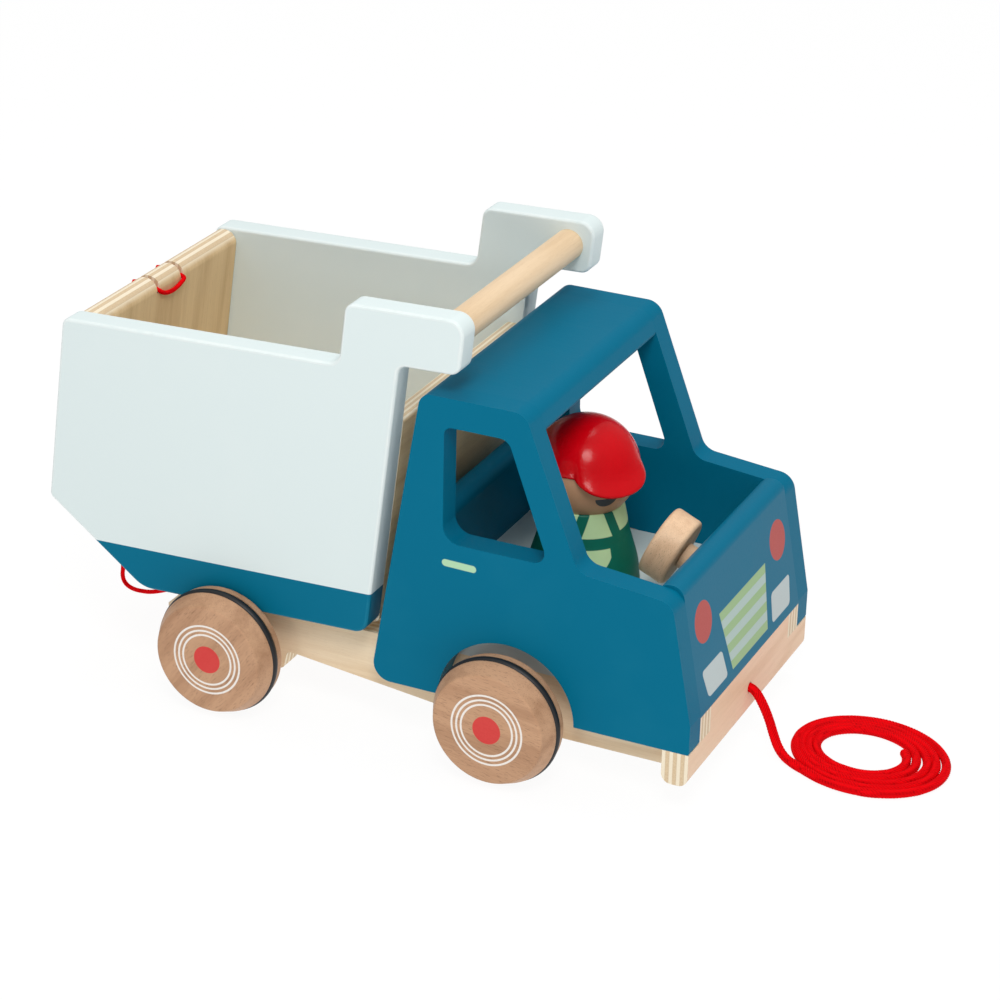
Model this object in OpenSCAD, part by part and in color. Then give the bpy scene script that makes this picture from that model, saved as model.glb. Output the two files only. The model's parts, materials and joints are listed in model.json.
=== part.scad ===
// Wooden pull-along tipper truck with a peg driver.
// Millimetres, +Z up, +X towards the front bumper, origin on the ground under the middle of the truck.

/* [Boards] */
// Thickness of the plywood boards
board = 12; // [10:0.5:12]
// Thickness of the bed's front wall
front_wall_thickness = 9; // [8:0.5:9.5]

/* [Cab] */
// Outer width of the cab
cab_width = 141.6; // [136:0.2:142]
// Height of the roof above the ground
roof_top = 169; // [168:0.5:170]
// Lower left corner of the window opening, height above the ground
window_sill = 103; // [102:0.5:106]

/* [Bed] */
// Outer width of the tipper bed
bed_width = 143.6; // [143.6:0.2:144]
// Nose-up angle at which the bed lies on its rest
bed_rest_angle = 2; // [1.6:0.1:2.2]
// Diameter of the lifting dowel between the brackets
handle_diameter = 14; // [12:0.5:15]

/* [Wheels] */
// Radius of the wooden wheels
wheel_radius = 28.7; // [28:0.1:29]
// Width of each wheel
wheel_width = 17; // [15:0.5:17]
// Diameter of the axle rods
axle_diameter = 8; // [6:0.5:8]
// Thickness of the rubber ring on each wheel
tyre_section = 4.4; // [4:0.1:4.6]

/* [Driver] */
// Radius of the driver's head
head_radius = 22.6; // [21:0.2:22.8]
// Radius at the driver's foot
driver_foot_radius = 25.5; // [24:0.5:26.5]

/* [Pull cord] */
// Thickness of the braided pull cord
cord_diameter = 4; // [3.4:0.1:4.2]

/* [Hidden] */
$fn = 96;
eps = 0.01;
// Lets each corner's arc cross the straight edges instead of only touching them
arc_overlap = 0.004;

// Running gap between pieces that move against each other
gap = 0.4;
// Gap left in a glued seam between two slanted faces
seam = 0.02;
// Radial clearance of a running fit
running_clearance = 0.06;

// Wheels and axles
tyre_centre_radius = wheel_radius - 1.4;
axle_height = tyre_centre_radius + tyre_section / 2;
front_axle_x = 70.5;
rear_axle_x = -65.4;
wheel_face_y = 89.2;
wheel_back_y = wheel_face_y - wheel_width;
wheel_taper_length = 7.4;
wheel_taper_depth = 3.5;
wheel_knee_round = 3;
wheel_edge_round = 1.5;
wheel_back_round = 2;
tyre_offset = 10.3;
blind_depth = 5;
spacer_radius = 8;
arch_radius = 32;

// Chassis
cab_half = cab_width / 2;
cab_inside = cab_half - board;
rail_inside = cab_inside - board;
rail_top = 45;
rail_bottom = 16;
bumper_front_x = 155;
bumper_back_x = bumper_front_x - board;
bumper_bottom = 14.5;
shoulder = 30;
panel_foot = 42;
pivot_x = -92;
pivot_z = 35;
pivot_radius = 4;
rail_end_radius = 11;
cord_hole_z = 28;
cross_board_x = -82;
cross_board_bottom = 18.5;
rest_board_x = -18;
rest_board_bottom = 24;
rest_board_top = 49.6;

// Cab outline, from the rear bottom corner round by the front
cab_rear_foot = [6, shoulder];
cab_front_foot = [bumper_front_x, shoulder];
cab_front_knee = [bumper_front_x, 43.5];
hood_front = [144.5, 98.5];
hood_rear = [102.2, 102.7];
roof_front = [76.6, roof_top];
roof_rear = [29, roof_top];
cab_outline = [
    cab_rear_foot, cab_front_foot, cab_front_knee, hood_front, hood_rear, roof_front, roof_rear
];
cab_radii = [8, 1, 1, 8, 8, 8, 6];
window_outline = [[40, window_sill], [89, window_sill], [69.3, 156], [40, 156]];
window_radii = [8, 5, 5.5, 3.5];
floor_top = 61;
back_wall_top = 104.5;
front_panel_top = 100.5;
roof_underside = roof_top - board;

// Steering wheel on a stub column that leans out of the front panel
steering_centre = [114.9, 0, 87.4];
steering_lean = 24;
steering_radius = 16;
steering_width = 13;
column_radius = 6;
column_length = 22;
column_peg_radius = 3;
column_peg_length = 8;

// Bed outline before it is turned by bed_rest_angle, from the rear bottom corner round by the front
bed_half = bed_width / 2;
bed_inside = bed_half - board;
bed_bottom = 47.5;
bed_tail_foot = [-108, bed_bottom];
bed_front_foot = [4.6, bed_bottom];
bed_front_neck = [24.2, 175];
bed_tail_knee = [-153.6, 84.7];
bed_tail_top = [-139.6, 171.5];
bed_outline = [
    bed_tail_foot, bed_front_foot, bed_front_neck, [51.9, 175], [55.3, 199.3],
    [0.1, 199.3], [-4.1, 171.5], bed_tail_top, bed_tail_knee
];
bed_radii = [14, 7, 4, 5, 7, 5, 6, 4, 3];
handle_centre = [42, 187.9];
handle_end_depth = 6;
bed_floor_top = bed_bottom + board;
front_wall_top = 146.5;
block_thickness = 12;
block_inside = rail_inside - 0.8 - block_thickness;
block_radius = 8.5;
ramp_inset = 5;

// Tailgate, hinged at its foot
gate_length = 87.9;
gate_lean = atan2(bed_tail_top[0] - bed_tail_knee[0], bed_tail_top[1] - bed_tail_knee[1]);
gate_half = bed_inside - gap;
gate_pin_radius = 2.5;
gate_pin_height = 8;
gate_pin_length = 16;
gate_pin_seat = 6;
gate_slot_half = 10.2;
gate_slot_width = 2.6;
gate_slot_depth = 6.2;

// Gate cord
gate_cord_radius = 1;
gate_cord_clearance = 0.3;
tail_tie_y = 15;
tail_tie_z = 29;
tail_seat = 3;

// Driver
driver_x = 74.3;
driver_turn = -42;
driver_foot_z = floor_top + 0.3;
head_centre_z = 116.6;
neck_z = 101;
hip_z = 73;
waist_z = 87;
waist_radius = 20;
neck_radius = 17;
cap_thickness = 1;
cap_edge_z = 4.5;
visor_offset = 12.9;
visor_reach = 13.8;
visor_edge = 1.4;
visor_span = 76;
visor_tip_z = -2.2;
visor_droop = 1.6;
visor_root_x = 18.5;
visor_root_y = 8;
visor_root_z = 8.5;

// Pull cord and the flat coil that it ends in
cord_radius = cord_diameter / 2;
coil_centre = [207.7, 11.2];
coil_turns = 5;
coil_pitch = cord_diameter * 0.94;
coil_outer_radius = 35.5;
cord_points = [
    [155, 0, 28], [157.6, -0.1, 26.8], [160.2, -0.3, 23.8], [163.1, -0.8, 19.3], [165.6, -1.2, 14.3],
    [167.8, -2, 9.5], [171, -4, 4.8], [175.4, -7.2, cord_radius + 0.4], [180.8, -10.8, cord_radius]
];
knot_radius = 4.2;

paint_blue = [0.02, 0.38, 0.5];
paint_pale = [0.83, 0.9, 0.9];
paint_floor = [0.75, 0.85, 0.84];
plywood = [0.86, 0.74, 0.56];
beech = [0.78, 0.6, 0.45];
light_wood = [0.9, 0.79, 0.64];
steel = [0.7, 0.7, 0.72];
rubber = [0.06, 0.06, 0.07];
cord_red = [0.85, 0.02, 0.04];
cap_red = [0.8, 0.02, 0.06];
skin = [0.6, 0.45, 0.34];
overalls = [0.02, 0.42, 0.34];

// ---- outlines with rounded corners ----

function unit(v) = v / norm(v);
function wrap(i, n) = (i + n) % n;
function turn_sign(p, i) =
    let (
        n = len(p),
        a = p[i] - p[wrap(i - 1, n)],
        b = p[wrap(i + 1, n)] - p[i]
    )
    sign(a[0] * b[1] - a[1] * b[0]);

// Where corner i of outline p is rounded by radius r: the two tangent points and the arc's centre.
function corner(p, i, r) =
    let (
        n = len(p),
        v = p[i],
        u = unit(p[wrap(i - 1, n)] - v),
        w = unit(p[wrap(i + 1, n)] - v),
        half = acos(u * w) / 2
    )
    [v + u * r / tan(half), v + w * r / tan(half), v + unit(u + w) * r / sin(half)];

// The sliver between a convex corner and the arc that rounds it.
module corner_sliver(v, c, r) {
    difference() {
        polygon([v + (v - c[2]) * 0.2, c[0], c[2], c[1]]);
        translate(c[2])
            circle(r = r + arc_overlap);
    }
}

// A polygon listed anticlockwise with each corner rounded by its own radius.
module rounded_outline(p, radii) {
    filled = [
        for (i = [0:len(p) - 1])
            let (c = corner(p, i, radii[i]))
            each radii[i] > 0 && turn_sign(p, i) < 0 ? [c[0], c[1]] : [p[i]]
    ];
    difference() {
        polygon(filled);
        for (i = [0:len(p) - 1])
            if (radii[i] > 0)
                let (c = corner(p, i, radii[i]))
                if (turn_sign(p, i) > 0)
                    corner_sliver(p[i], c, radii[i]);
                else
                    translate(c[2])
                        circle(r = radii[i] + arc_overlap);
    }
}

// Extrudes an X-Z outline across the truck from y0 to y1.
module across(y0, y1) {
    translate([0, y1, 0])
        rotate([90, 0, 0])
            linear_extrude(y1 - y0)
                children();
}

// A cylinder across the truck through the point at in X-Z.
module rod_across(at, r, y0, y1) {
    translate([at[0], y1, at[1]])
        rotate([90, 0, 0])
            cylinder(r = r, h = y1 - y0);
}

module mirrored_pair() {
    children();
    mirror([0, 1, 0])
        children();
}

// Places children drawn in the bed's own level position at the bed's rest angle.
module bed_pose() {
    translate([pivot_x, 0, pivot_z])
        rotate([0, -bed_rest_angle, 0])
            translate([-pivot_x, 0, -pivot_z])
                children();
}

// ---- chassis ----

module rail_outline() {
    difference() {
        rounded_outline(
            [
                [pivot_x - rail_end_radius, rail_bottom], [-44, rail_bottom], [-42, 25.3],
                [25, 18.2], [44, rail_bottom], [bumper_back_x, rail_bottom],
                [bumper_back_x, shoulder], [bumper_front_x, shoulder],
                [bumper_front_x, panel_foot], [142.4, panel_foot], [142.4, rail_top],
                [pivot_x, rail_top], [pivot_x - rail_end_radius, pivot_z]
            ],
            [4, 2, 3, 0, 0, 0, 0, 0, 0, 0, 0, 0, 0]
        );
        translate([rear_axle_x, axle_height])
            circle(r = axle_diameter / 2 + running_clearance);
        translate([front_axle_x, axle_height])
            circle(r = axle_diameter / 2 + running_clearance);
        translate([pivot_x, pivot_z])
            circle(r = pivot_radius);
    }
}

module right_rail() {
    color(plywood)
        across(-cab_inside, -rail_inside)
            rail_outline();
}

module left_rail() {
    color(plywood)
        across(rail_inside, cab_inside)
            rail_outline();
}

module front_bumper_board() {
    color(plywood)
        difference() {
            across(-cab_half, cab_half)
                rounded_outline(
                    [
                        [bumper_back_x, bumper_bottom], [bumper_front_x, bumper_bottom],
                        [bumper_front_x, panel_foot], [bumper_back_x, panel_foot]
                    ],
                    [4.5, 4.5, 0, 0]
                );
            mirrored_pair()
                translate([bumper_back_x - 1, rail_inside, shoulder])
                    cube([board + 2, board * 3, board * 2]);
            translate([bumper_back_x - 1, 0, cord_hole_z])
                rotate([0, 90, 0])
                    cylinder(r = cord_radius + 0.4, h = board + 2);
        }
}

module rear_cross_board() {
    color(plywood)
        difference() {
            across(-rail_inside, rail_inside)
                rounded_outline(
                    [
                        [cross_board_x, cross_board_bottom], [cross_board_x + board, cross_board_bottom],
                        [cross_board_x + board, rail_top], [cross_board_x, rail_top]
                    ],
                    [1, 1, 1, 1]
                );
            mirrored_pair()
                translate([cross_board_x - 1, tail_tie_y, tail_tie_z])
                    rotate([0, 90, 0])
                        cylinder(r = gate_cord_radius, h = tail_seat + 1);
        }
}

// Its rounded top stands just above the rails and carries the lowered bed.
module bed_rest_board() {
    color(plywood)
        across(-rail_inside, rail_inside)
            rounded_outline(
                [
                    [rest_board_x, rest_board_bottom], [rest_board_x + board, rest_board_bottom],
                    [rest_board_x + board, rest_board_top], [rest_board_x, rest_board_top]
                ],
                [1, 1, 5, 5]
            );
}

module bed_pivot_rod() {
    color(steel)
        rod_across([pivot_x, pivot_z], pivot_radius, -cab_inside, cab_inside);
}

// ---- cab ----

function cab_rear_x(z) =
    cab_rear_foot[0] + (z - cab_rear_foot[1]) * (roof_rear[0] - cab_rear_foot[0]) / (roof_top - shoulder);
function cab_front_x(z) =
    hood_front[0] + (hood_front[1] - z) * (cab_front_knee[0] - hood_front[0])
    / (hood_front[1] - cab_front_knee[1]);
function windscreen_x(z) =
    roof_front[0] + (roof_top - z) * (hood_rear[0] - roof_front[0]) / (roof_top - hood_rear[1]);
leaning_board = board * 1.016;

module cab_side() {
    across(cab_inside, cab_half)
        difference() {
            rounded_outline(cab_outline, cab_radii);
            rounded_outline(window_outline, window_radii);
            translate([front_axle_x, axle_height])
                circle(r = arch_radius);
        }
}

module left_cab_side() {
    color(paint_blue)
        cab_side();
}

module right_cab_side() {
    color(paint_blue)
        mirror([0, 1, 0])
            cab_side();
}

module roof() {
    color(paint_blue)
        across(-cab_inside, cab_inside)
            rounded_outline(
                [
                    [cab_rear_x(roof_underside), roof_underside],
                    [windscreen_x(roof_underside), roof_underside],
                    roof_front, roof_rear
                ],
                [1, 2, 8, 6]
            );
}

module cab_back_wall() {
    color(paint_blue)
        across(-cab_inside, cab_inside)
            rounded_outline(
                [
                    [cab_rear_x(rail_top), rail_top],
                    [cab_rear_x(rail_top) + leaning_board, rail_top],
                    [cab_rear_x(back_wall_top) + leaning_board, back_wall_top],
                    [cab_rear_x(back_wall_top), back_wall_top]
                ],
                [0, 0, 5, 5]
            );
}

module front_panel() {
    color(paint_blue)
        difference() {
            across(-cab_inside, cab_inside)
                rounded_outline(
                    [
                        [cab_front_x(panel_foot) - leaning_board, panel_foot],
                        [bumper_front_x, panel_foot],
                        cab_front_knee,
                        [cab_front_x(front_panel_top), front_panel_top],
                        [cab_front_x(front_panel_top) - leaning_board, front_panel_top]
                    ],
                    [0, 0, 0, 5.5, 5.5]
                );
            steering_axis()
                cylinder(r = column_radius + 0.02, h = column_length + 0.5);
        }
}

module cab_floor() {
    color(paint_floor)
        across(-cab_inside, cab_inside)
            polygon([
                [cab_rear_x(rail_top) + leaning_board, rail_top],
                [cab_front_x(rail_top) - leaning_board - seam, rail_top],
                [cab_front_x(floor_top) - leaning_board - seam, floor_top],
                [cab_rear_x(floor_top) + leaning_board, floor_top]
            ]);
}

// Origin at the middle of the steering wheel's front face, +Z forwards and down along the column.
module steering_axis() {
    translate(steering_centre)
        rotate([0, 90 + steering_lean, 0])
            translate([0, 0, steering_width / 2])
                children();
}

module steering_column() {
    color(beech)
        steering_axis() {
            translate([0, 0, gap])
                cylinder(r = column_radius, h = column_length - gap);
            translate([0, 0, -column_peg_length])
                cylinder(r = column_peg_radius, h = column_peg_length + gap + eps);
        }
}

module steering_wheel() {
    color(beech)
        steering_axis()
            difference() {
                translate([0, 0, -steering_width])
                    rotate_extrude()
                        rounded_outline(
                            [[0, 0], [steering_radius, 0], [steering_radius, steering_width], [0, steering_width]],
                            [0, 2, 2, 0]
                        );
                translate([0, 0, -column_peg_length - 0.5])
                    cylinder(r = column_peg_radius + running_clearance, h = column_peg_length + 1);
            }
}

// ---- wheels ----

// Origin on the axle at the middle of the truck, +Z along the axle towards the wheel.
module axle_frame(x, side) {
    translate([x, 0, axle_height])
        rotate([side > 0 ? -90 : 90, 0, 0])
            children();
}

module wheel(x, side) {
    color(beech)
        axle_frame(x, side)
            difference() {
                rotate_extrude()
                    difference() {
                        rounded_outline(
                            [
                                [0, wheel_back_y], [wheel_radius, wheel_back_y],
                                [wheel_radius, wheel_face_y - wheel_taper_length],
                                [wheel_radius - wheel_taper_depth, wheel_face_y], [0, wheel_face_y]
                            ],
                            [0, wheel_back_round, wheel_knee_round, wheel_edge_round, 0]
                        );
                        translate([tyre_centre_radius, wheel_face_y - tyre_offset])
                            circle(r = tyre_section / 2);
                        translate([tyre_centre_radius, wheel_face_y - tyre_offset - tyre_section / 2])
                            square([tyre_section, tyre_section]);
                    }
                translate([0, 0, wheel_back_y - 1])
                    cylinder(r = axle_diameter / 2, h = wheel_width - blind_depth + 1);
            }
}

module tyre(x, side) {
    color(rubber)
        axle_frame(x, side)
            rotate_extrude()
                translate([tyre_centre_radius, wheel_face_y - tyre_offset])
                    circle(r = tyre_section / 2);
}

module axle(x) {
    color(steel)
        rod_across(
            [x, axle_height], axle_diameter / 2,
            -wheel_face_y + blind_depth, wheel_face_y - blind_depth
        );
}

module axle_spacers(x) {
    color(beech)
        mirrored_pair()
            difference() {
                rod_across([x, axle_height], spacer_radius, cab_inside + gap, wheel_back_y);
                rod_across([x, axle_height], axle_diameter / 2, cab_inside, wheel_back_y + 1);
            }
}

module front_axle() { axle(front_axle_x); }
module front_axle_spacers() { axle_spacers(front_axle_x); }
module front_left_wheel() { wheel(front_axle_x, 1); }
module front_right_wheel() { wheel(front_axle_x, -1); }
module front_left_tyre() { tyre(front_axle_x, 1); }
module front_right_tyre() { tyre(front_axle_x, -1); }
module rear_axle() { axle(rear_axle_x); }
module rear_axle_spacers() { axle_spacers(rear_axle_x); }
module rear_left_wheel() { wheel(rear_axle_x, 1); }
module rear_right_wheel() { wheel(rear_axle_x, -1); }
module rear_left_tyre() { tyre(rear_axle_x, 1); }
module rear_right_tyre() { tyre(rear_axle_x, -1); }

// ---- tipper bed ----

// The gate's hinge axis in the bed's level position.
gate_along = [sin(gate_lean), cos(gate_lean)];
gate_inward = [cos(gate_lean), -sin(gate_lean)];
gate_pin = bed_tail_knee + gate_along * gate_pin_height + gate_inward * board / 2;

module bed_side() {
    across(bed_inside, bed_half)
        rounded_outline(bed_outline, bed_radii);
}

// Blind seats in the inner face of a side for the handle and for the tailgate's pin.
module bed_side_seats() {
    rod_across(handle_centre, handle_diameter / 2, bed_inside - 1, bed_inside + handle_end_depth);
    rod_across(gate_pin, gate_pin_radius, bed_inside - 1, bed_inside + gate_pin_seat);
}

module left_bed_side() {
    color(paint_pale)
        bed_pose()
            difference() {
                bed_side();
                bed_side_seats();
            }
}

module right_bed_side() {
    color(paint_pale)
        bed_pose()
            mirror([0, 1, 0])
                difference() {
                    bed_side();
                    bed_side_seats();
                }
}

function bed_front_x(z) =
    bed_front_foot[0] + (z - bed_bottom) * (bed_front_neck[0] - bed_front_foot[0])
    / (bed_front_neck[1] - bed_bottom);
leaning_front_wall = front_wall_thickness * 1.012;

module bed_front_wall() {
    color(plywood)
        bed_pose()
            across(-bed_inside, bed_inside)
                rounded_outline(
                    [
                        [bed_front_x(bed_bottom) - leaning_front_wall, bed_bottom],
                        [bed_front_x(bed_bottom), bed_bottom],
                        [bed_front_x(front_wall_top), front_wall_top],
                        [bed_front_x(front_wall_top) - leaning_front_wall, front_wall_top]
                    ],
                    [0, 3, 2, 2]
                );
}

module bed_floor() {
    color(plywood)
        bed_pose()
            across(-bed_inside, bed_inside)
                polygon([
                    [ramp_tail, bed_bottom],
                    [bed_front_x(bed_bottom) - leaning_front_wall, bed_bottom],
                    [bed_front_x(bed_floor_top) - leaning_front_wall, bed_floor_top],
                    [ramp_tail, bed_floor_top]
                ]);
}

// Closes the chamfered tail. Its end stands above the gate's pins and stops the gate from falling inwards.
ramp_along = unit(bed_tail_knee - bed_tail_foot);
ramp_inward = [ramp_along[1], -ramp_along[0]];
ramp_tail = -95;
ramp_end_gap = 0.6;

// Where a board face this far inside the chamfer meets the plane just inside the gate.
function ramp_end(depth) =
    let (
        on_face = bed_tail_knee + ramp_inward * depth,
        short = board + ramp_end_gap - (on_face - bed_tail_knee) * gate_inward
    )
    on_face + ramp_along * short / (ramp_along * gate_inward);
// Where a board face this far inside the chamfer meets the height z.
function ramp_at(depth, z) =
    let (on_face = bed_tail_knee + ramp_inward * depth)
    on_face + ramp_along * (z - on_face[1]) / ramp_along[1];

module bed_tail_ramp() {
    color(plywood)
        bed_pose()
            across(-bed_inside, bed_inside)
                polygon([
                    [ramp_tail, bed_bottom],
                    [ramp_tail, bed_floor_top],
                    ramp_at(ramp_inset + board, bed_floor_top),
                    ramp_end(ramp_inset + board),
                    ramp_end(ramp_inset),
                    ramp_at(ramp_inset, bed_bottom)
                ]);
}

module handle_dowel() {
    color(light_wood)
        bed_pose()
            rod_across(
                handle_centre, handle_diameter / 2,
                -bed_inside - handle_end_depth, bed_inside + handle_end_depth
            );
}

// Two blocks under the floor carry the bed on the pivot rod.
module bed_hinge_blocks() {
    color(beech)
        bed_pose()
            mirrored_pair()
                difference() {
                    across(block_inside, block_inside + block_thickness)
                        union() {
                            translate([pivot_x, pivot_z])
                                circle(r = block_radius);
                            translate([pivot_x - block_radius, pivot_z])
                                square([block_radius * 2, bed_bottom - pivot_z]);
                        }
                    rod_across(
                        [pivot_x, pivot_z], pivot_radius + running_clearance,
                        block_inside - 1, block_inside + block_thickness + 1
                    );
                }
}

module tailgate_pins() {
    color(steel)
        bed_pose()
            mirrored_pair()
                rod_across(
                    gate_pin, gate_pin_radius,
                    bed_inside + gate_pin_seat - gate_pin_length, bed_inside + gate_pin_seat
                );
}

// Origin at the gate's outer foot, +Z up along its outer face, +X into the bed.
module gate_frame() {
    bed_pose()
        translate([bed_tail_knee[0], 0, bed_tail_knee[1]])
            rotate([0, gate_lean, 0])
                children();
}

module tailgate() {
    color(plywood)
        gate_frame()
            difference() {
                across(-gate_half, gate_half)
                    rounded_outline(
                        [[0, 2], [board, 2], [board, gate_length], [0, gate_length]],
                        [5.5, 5.5, 5.5, 5.5]
                    );
                mirrored_pair() {
                    translate([-1, gate_slot_half - gate_slot_width / 2, gate_length - gate_slot_depth])
                        cube([board + 2, gate_slot_width, gate_slot_depth + 1]);
                    rod_across(
                        [board / 2, gate_pin_height], gate_pin_radius + running_clearance,
                        bed_inside + gate_pin_seat - gate_pin_length - 0.5, gate_half + 1
                    );
                }
            }
}

// ---- cords ----

// A round cord swept through points, with a flat cap at each end.
function arms(p, i) =
    unit(p[min(i + 1, len(p) - 1)] - p[max(i - 1, 0)]);
function side_of(t, ref) = unit(ref - t * (ref * t));
function carry(p, i) =
    i == 0 ? side_of(arms(p, 0), abs(arms(p, 0)[1]) > 0.9 ? [1, 0, 0] : [0, 1, 0])
           : side_of(arms(p, i), carry(p, i - 1));

module swept_cord(p, r, sides = 8) {
    rings = [
        for (i = [0:len(p) - 1])
            let (
                t = arms(p, i),
                u = carry(p, i),
                v = cross(t, u)
            )
            for (k = [0:sides - 1])
                p[i] + r * (u * cos(360 * k / sides) + v * sin(360 * k / sides))
    ];
    last = (len(p) - 1) * sides;
    walls = [
        for (i = [0:len(p) - 2], k = [0:sides - 1])
            let (
                a = i * sides + k,
                b = i * sides + (k + 1) % sides
            )
            each [[a, b, b + sides], [a, b + sides, a + sides]]
    ];
    caps = [
        [for (k = [0:sides - 1]) sides - 1 - k],
        [for (k = [0:sides - 1]) last + k]
    ];
    polyhedron(points = rings, faces = [for (f = concat(walls, caps)) [for (j = [len(f) - 1:-1:0]) f[j]]]);
}

// Points along the cord in the gate's own frame: up one leg, round the tab on the inner face, down the other.
gate_cord_low = gate_length - gate_slot_depth + gate_cord_radius + gate_cord_clearance;
gate_cord_half = [
    [-1.2, 14, 9], [-1.2, 13.8, 24], [-1.2, 13, 40], [-1.2, 11.8, 56], [-1.2, 10.6, 70],
    [-1.2, gate_slot_half, gate_cord_low - 0.3], [0.6, gate_slot_half, gate_cord_low + 0.2],
    [6, gate_slot_half, gate_cord_low + 0.1], [11.4, gate_slot_half, gate_cord_low + 0.2],
    [13.2, 9.7, gate_cord_low - 0.5], [13.3, 6.6, gate_cord_low - 2], [13.3, 3.4, gate_cord_low - 2.8]
];
gate_cord_points = concat(
    [for (q = gate_cord_half) [q[0], -q[1], q[2]]],
    [[13.3, 0, gate_cord_low - 3.1]],
    [for (i = [len(gate_cord_half) - 1:-1:0]) gate_cord_half[i]]
);

module tailgate_cord() {
    color(cord_red)
        gate_frame()
            swept_cord(gate_cord_points, gate_cord_radius);
}

// Each leg hangs slack behind the tail and runs forward, under the pivot rod, to the rear cross board.
tail_points = [
    [-155.5, 14, 91], [-156.5, 14, 82], [-157, 14, 70], [-157.1, 14, 56], [-156.4, 14, 42],
    [-155.4, 14.2, 30], [-155, 14.4, 22], [-155.4, 14.5, 17.3], [-154.7, 14.5, 14], [-152.5, 14.6, 11.9],
    [-148.9, 14.7, 10.9], [-144.3, 14.8, 11], [-139, 15, 12], [-131.5, 15, 14.8], [-124, 15, 18.4],
    [-115.8, 15, 22.8], [-106.6, 15, 26.4],
    [-97.6, 15, 28.2], [-89, 15, 28.8], [-83, tail_tie_y, tail_tie_z],
    [cross_board_x + tail_seat, tail_tie_y, tail_tie_z]
];

module tailgate_cord_tails() {
    color(cord_red)
        mirrored_pair()
            swept_cord(tail_points, gate_cord_radius);
}

module pull_cord() {
    color(cord_red)
        swept_cord(cord_points, cord_radius);
}

module pull_cord_coil() {
    color(cord_red)
        translate([coil_centre[0], coil_centre[1], cord_radius])
            rotate_extrude()
                for (i = [0:coil_turns - 1])
                    translate([coil_outer_radius - cord_radius - i * coil_pitch, 0])
                        circle(r = cord_radius);
}

module pull_cord_knot() {
    color(cord_red)
        translate([bumper_back_x - knot_radius, 0, cord_hole_z])
            sphere(r = knot_radius);
}

// ---- driver ----

module driver_frame() {
    translate([driver_x, 0, 0])
        rotate([0, 0, driver_turn])
            children();
}

module driver_body() {
    color(overalls)
        driver_frame()
            difference() {
                rotate_extrude()
                    rounded_outline(
                        [
                            [0, driver_foot_z], [driver_foot_radius, driver_foot_z],
                            [driver_foot_radius - 1.3, hip_z], [waist_radius, waist_z],
                            [neck_radius, neck_z], [0, neck_z]
                        ],
                        [0, 3, 40, 0, 1, 0]
                    );
                translate([0, 0, head_centre_z])
                    sphere(r = head_radius);
            }
}

module driver_head() {
    color(skin)
        driver_frame()
            translate([0, 0, head_centre_z])
                sphere(r = head_radius);
}

// A thin dome over the head.
module driver_cap() {
    color(cap_red)
        driver_frame()
            translate([0, 0, head_centre_z])
                difference() {
                    rotate([90, 0, 0])
                        sphere(r = head_radius + cap_thickness);
                    translate([-head_radius * 2, -head_radius * 2, cap_edge_z - head_radius * 4])
                        cube(head_radius * 4);
                    rotate([90, 0, 0])
                        sphere(r = head_radius);
                }
}

// A point of the visor's rim, which droops as it leaves the head.
function rim_point(turn) =
    let (
        x = visor_offset + visor_reach * cos(turn),
        y = visor_reach * sin(turn)
    )
    [x, y, visor_tip_z + (visor_offset + visor_reach - norm([x, y])) * visor_droop];

module cap_visor() {
    color(cap_red)
        driver_frame()
            translate([0, 0, head_centre_z])
                difference() {
                    hull() {
                        for (turn = [-visor_span:visor_span / 4:visor_span])
                            translate(rim_point(turn))
                                sphere(r = visor_edge, $fn = 32);
                        for (y = [-visor_root_y, visor_root_y])
                            translate([visor_root_x, y, visor_root_z])
                                sphere(r = visor_edge, $fn = 32);
                    }
                    sphere(r = head_radius + cap_thickness);
                }
}

left_rail();
right_rail();
front_bumper_board();
rear_cross_board();
bed_rest_board();
bed_pivot_rod();
cab_floor();
left_cab_side();
right_cab_side();
roof();
cab_back_wall();
front_panel();
steering_column();
steering_wheel();
front_axle();
front_axle_spacers();
front_left_wheel();
front_right_wheel();
front_left_tyre();
front_right_tyre();
rear_axle();
rear_axle_spacers();
rear_left_wheel();
rear_right_wheel();
rear_left_tyre();
rear_right_tyre();
left_bed_side();
right_bed_side();
bed_floor();
bed_tail_ramp();
bed_front_wall();
handle_dowel();
bed_hinge_blocks();
tailgate_pins();
tailgate();
tailgate_cord();
tailgate_cord_tails();
driver_body();
driver_head();
driver_cap();
cap_visor();
pull_cord();
pull_cord_coil();
pull_cord_knot();
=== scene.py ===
import json
import math

import bmesh
import bpy
from mathutils import Matrix, Vector
from mathutils.bvhtree import BVHTree


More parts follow.
